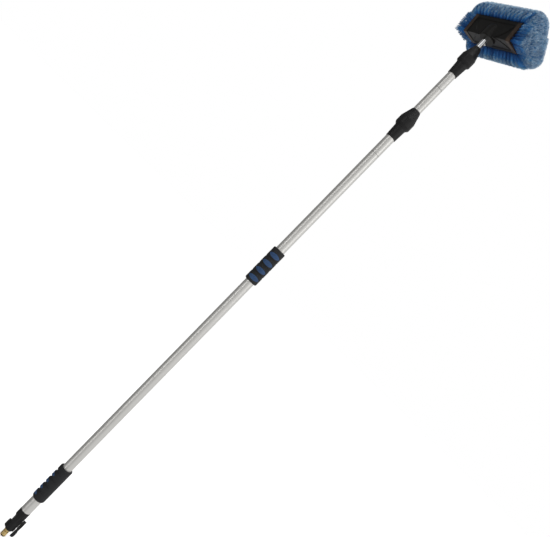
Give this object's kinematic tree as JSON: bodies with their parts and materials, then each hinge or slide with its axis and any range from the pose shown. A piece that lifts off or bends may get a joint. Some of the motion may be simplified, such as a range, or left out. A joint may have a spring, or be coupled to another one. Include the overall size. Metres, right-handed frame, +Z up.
{
  "type": "water-fed telescopic window cleaning pole",
  "caption": "Telescopic aluminium wash pole with hose nipple, shut-off valve, finger-pad grips, twist locks and an angled five-sided bristle brush with a roof-shaped back.",
  "frame": {"origin": "on the pole's axis, at the free end of the hose nipple's cylindrical barrel", "axes": "+Z up the pole towards the brush; +X towards the valve lever; the upper grip's finger pads face -Y and the lower grip's face -X"},
  "size_m": [0.2407, 0.2493, 1.9925],
  "materials": {
    "brass": "satin",
    "seal_rubber": "matte",
    "black_plastic": "satin",
    "head_plastic": "satin",
    "white_plastic": "satin",
    "grey_plastic": "satin",
    "chrome_metal": "polished",
    "steel": "satin",
    "tube_aluminium": "satin",
    "polished_aluminium": "polished",
    "grip_rubber": "matte",
    "blue_rubber": "matte",
    "bristles": "satin"
  },
  "bodies": {
    "pole_base": {"outer_tube": "tube_aluminium", "end_sleeve": "tube_aluminium", "hose_nipple": "brass", "nipple_o_ring": "seal_rubber", "valve_body": "black_plastic", "ball_seats": "white_plastic", "union_ferrule": "black_plastic", "tube_adaptor": "grey_plastic", "adaptor_o_rings": "seal_rubber", "lower_grip": "grip_rubber", "lower_grip_pads": "blue_rubber", "upper_grip": "grip_rubber", "upper_grip_pads": "blue_rubber", "lock1_collar": "black_plastic", "lock1_collet": "white_plastic"},
    "valve_handle": {"valve_lever": "black_plastic", "lever_screw": "steel", "valve_stem": "brass", "stem_o_ring": "seal_rubber", "valve_ball": "chrome_metal"},
    "lock1_twist_nut": {"lock1_nut": "black_plastic", "lock1_wiper": "seal_rubber"},
    "lock1_wedge": {"lock1_wedge_ring": "grey_plastic"},
    "middle_carriage": {"middle_piston": "grey_plastic", "middle_piston_seals": "seal_rubber"},
    "middle_section": {"middle_tube": "tube_aluminium", "middle_guide_bush": "white_plastic", "lock2_collar": "black_plastic", "lock2_collet": "white_plastic"},
    "lock2_twist_nut": {"lock2_nut": "black_plastic", "lock2_wiper": "seal_rubber"},
    "lock2_wedge": {"lock2_wedge_ring": "grey_plastic"},
    "inner_carriage": {"inner_piston": "grey_plastic", "inner_piston_seals": "seal_rubber"},
    "brush_section": {"inner_tube": "polished_aluminium", "socket_insert": "brass", "socket_o_ring": "seal_rubber", "head_cover": "head_plastic", "tuft_block": "head_plastic", "head_gasket": "seal_rubber", "cover_screws": "steel", "water_jets": "white_plastic", "tufts_bottom": "bristles", "tufts_front": "bristles", "tufts_rear": "bristles", "tufts_near_end": "bristles", "tufts_far_end": "bristles"},
    "neck_button": {"stop_button": "steel", "button_spring": "steel"}
  },
  "joints": [
    {"name": "valve_turn", "type": "hinge", "parent": "pole_base", "child": "valve_handle", "pos_m": [0.02, 0, 0.0522], "axis": [1, 0, 0], "range_deg": [0, 90]},
    {"name": "lock1_turn", "type": "hinge", "parent": "pole_base", "child": "lock1_twist_nut", "pos_m": [0, 0, 1.56], "axis": [0, 0, 1], "range_deg": [0, 180]},
    {"name": "lock1_wedge_slide", "type": "slide", "parent": "pole_base", "child": "lock1_wedge", "axis": [0, 0, 1], "range_m": [0, 0.0021]},
    {"name": "middle_slide", "type": "slide", "parent": "pole_base", "child": "middle_carriage", "axis": [0, 0, 1], "range_m": [-0.13, 1.1]},
    {"name": "middle_turn", "type": "hinge", "parent": "middle_carriage", "child": "middle_section", "pos_m": [0, 0, 0.31], "axis": [0, 0, 1], "continuous": true},
    {"name": "lock2_turn", "type": "hinge", "parent": "middle_section", "child": "lock2_twist_nut", "pos_m": [0, 0, 1.8], "axis": [0, 0, 1], "range_deg": [0, 180]},
    {"name": "lock2_wedge_slide", "type": "slide", "parent": "middle_section", "child": "lock2_wedge", "axis": [0, 0, 1], "range_m": [0, 0.0021]},
    {"name": "inner_slide", "type": "slide", "parent": "middle_section", "child": "inner_carriage", "axis": [0, 0, 1], "range_m": [-0.013, 1.2]},
    {"name": "brush_turn", "type": "hinge", "parent": "inner_carriage", "child": "brush_section", "pos_m": [0, 0, 0.44], "axis": [0, 0, 1], "continuous": true},
    {"name": "button_press", "type": "slide", "parent": "brush_section", "child": "neck_button", "axis": [-0.6691, 0.7431, 0], "range_m": [0, 0.0029], "stiffness_N_per_m": 600}
  ],
  "couplings": [
    {"joint": "lock1_wedge_slide", "follows": "lock1_turn", "m_per_rad": 0.00063662},
    {"joint": "lock2_wedge_slide", "follows": "lock2_turn", "m_per_rad": 0.00063662}
  ]
}
